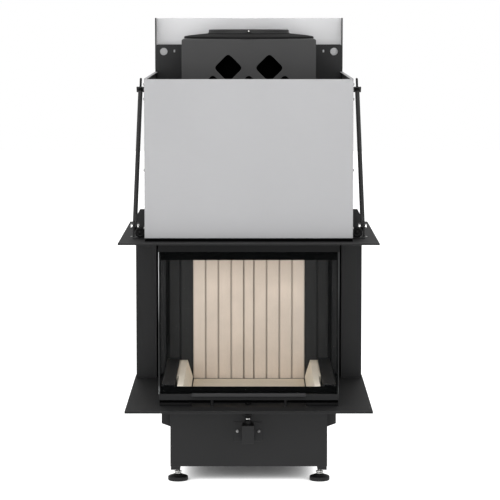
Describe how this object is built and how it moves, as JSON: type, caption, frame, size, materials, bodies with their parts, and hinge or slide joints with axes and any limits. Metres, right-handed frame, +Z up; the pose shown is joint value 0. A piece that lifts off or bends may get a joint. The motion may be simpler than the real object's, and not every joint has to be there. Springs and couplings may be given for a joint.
{
  "type": "fireplace insert",
  "caption": "Fireplace insert: a three-sided glass door lifts into a sheet housing above a stone-lined firebox on a pedestal, with a flue dome and collar behind it.",
  "frame": {"origin": "on the floor under the middle of the outline, at the underside of the levelling feet", "axes": "+X to the right seen from the front, +Y to the rear (the wall side), +Z up"},
  "size_m": [0.627, 0.75, 1.1435],
  "materials": {
    "body_steel": "matt black-grey heat-resistant paint over welded sheet",
    "plate_steel": "matt dark grey paint, slightly worn to grey along cut edges",
    "casing_steel": "matt mid-grey heat-resistant paint",
    "galvanised_sheet": "pale bare sheet, satin, fine grain",
    "zinc": "zinc-plated, dull bright",
    "foot_black": "black, slight sheen, with plated nut and spindle",
    "fireclay": "pale warm-grey pressed fireclay, matt",
    "vermiculite": "light pressed mineral board, matt",
    "cast_iron": "dark, matt, fine cast texture",
    "door_steel": "fine matt black paint",
    "handle_steel": "dark grey paint, satin",
    "door_glass": "clear heat-resistant ceramic glass",
    "glass_print": "opaque black fired print on the glass",
    "seal_rope": "dark knitted glass-fibre sealing rope",
    "black_oxide": "blackened screws, nuts and buffers"
  },
  "bodies": {
    "frame": {"air_control_box": "body_steel", "air_inlet_spigot": "galvanised_sheet", "back_stone_centre": "fireclay", "back_stone_left": "fireclay", "back_stone_right": "fireclay", "baffle_plate": "vermiculite", "casing_front": "casing_steel", "casing_wrap": "casing_steel", "column_left": "body_steel", "column_right": "body_steel", "firebox_back_plate": "body_steel", "firebox_top_plate": "body_steel", "flue_collar": "casing_steel", "guide_rail_left": "body_steel", "guide_rail_right": "body_steel", "hearth_floor_stone": "fireclay", "hearth_tray": "body_steel", "housing_front": "galvanised_sheet", "housing_left": "galvanised_sheet", "housing_right": "galvanised_sheet", "lift_chain_left": "zinc", "lift_chain_right": "zinc", "lower_frame_plate": "plate_steel", "pedestal_back": "body_steel", "pedestal_base": "body_steel", "pedestal_front": "body_steel", "pedestal_left": "body_steel", "pedestal_right": "body_steel", "rear_lining_left": "cast_iron", "rear_lining_right": "cast_iron", "rear_plate": "body_steel", "rear_rail_left": "body_steel", "rear_rail_right": "body_steel", "rear_sheet": "galvanised_sheet", "side_stone_left": "fireclay", "side_stone_right": "fireclay", "smoke_dome": "casing_steel", "stay_bracket_left": "body_steel", "stay_bracket_right": "body_steel", "stay_rod_left": "black_oxide", "stay_rod_right": "black_oxide", "stay_tube_left": "body_steel", "stay_tube_right": "body_steel", "upper_frame_plate": "plate_steel"},
    "door": {"door_lower_frame": "door_steel", "door_top_rail": "door_steel", "door_glass_front": "door_glass", "door_glass_left": "door_glass", "door_glass_right": "door_glass", "door_handle": "handle_steel"},
    "counterweight_left": {"counterweight_left": "cast_iron"},
    "counterweight_right": {"counterweight_right": "cast_iron"},
    "chain_wheel_left": {"chain_wheel_left": "cast_iron"},
    "chain_wheel_right": {"chain_wheel_right": "cast_iron"},
    "air_control": {"air_control_spindle": "zinc"},
    "air_flap": {"air_flap": "zinc"},
    "levelling_foot_front_left": {"levelling_foot_front_left": "foot_black"},
    "levelling_foot_front_right": {"levelling_foot_front_right": "foot_black"},
    "levelling_foot_rear_left": {"levelling_foot_rear_left": "foot_black"},
    "levelling_foot_rear_right": {"levelling_foot_rear_right": "foot_black"}
  },
  "joints": [
    {"name": "door_lift", "type": "slide", "parent": "frame", "child": "door", "axis": [0, 0, 1], "range_m": [0, 0.37]},
    {"name": "counterweight_left_drop", "type": "slide", "parent": "frame", "child": "counterweight_left", "axis": [0, 0, -1], "range_m": [0, 0.37]},
    {"name": "counterweight_right_drop", "type": "slide", "parent": "frame", "child": "counterweight_right", "axis": [0, 0, -1], "range_m": [0, 0.37]},
    {"name": "chain_wheel_left_turn", "type": "hinge", "parent": "frame", "child": "chain_wheel_left", "pos_m": [-0.225, 0.251, 0.915], "axis": [-1, 0, 0], "range_deg": [0, 353.4]},
    {"name": "chain_wheel_right_turn", "type": "hinge", "parent": "frame", "child": "chain_wheel_right", "pos_m": [0.225, 0.251, 0.915], "axis": [-1, 0, 0], "range_deg": [0, 353.4]},
    {"name": "air_control_turn", "type": "hinge", "parent": "frame", "child": "air_control", "pos_m": [-0.002, -0.258, 0.2], "axis": [0, 0, 1], "range_deg": [0, 90]},
    {"name": "air_flap_turn", "type": "hinge", "parent": "frame", "child": "air_flap", "pos_m": [-0.002, -0.165, 0.125], "axis": [0, 1, 0], "range_deg": [0, 90]},
    {"name": "levelling_foot_front_left_screw", "type": "slide", "parent": "frame", "child": "levelling_foot_front_left", "axis": [0, 0, -1], "range_m": [-0.005, 0.025]},
    {"name": "levelling_foot_front_right_screw", "type": "slide", "parent": "frame", "child": "levelling_foot_front_right", "axis": [0, 0, -1], "range_m": [-0.005, 0.025]},
    {"name": "levelling_foot_rear_left_screw", "type": "slide", "parent": "frame", "child": "levelling_foot_rear_left", "axis": [0, 0, -1], "range_m": [-0.005, 0.025]},
    {"name": "levelling_foot_rear_right_screw", "type": "slide", "parent": "frame", "child": "levelling_foot_rear_right", "axis": [0, 0, -1], "range_m": [-0.005, 0.025]}
  ],
  "couplings": [
    {"joint": "counterweight_left_drop", "follows": "door_lift", "ratio": 1},
    {"joint": "counterweight_right_drop", "follows": "door_lift", "ratio": 1},
    {"joint": "chain_wheel_left_turn", "follows": "door_lift", "rad_per_m": 16.667},
    {"joint": "chain_wheel_right_turn", "follows": "door_lift", "rad_per_m": 16.667},
    {"joint": "air_flap_turn", "follows": "air_control_turn", "ratio": 1}
  ]
}
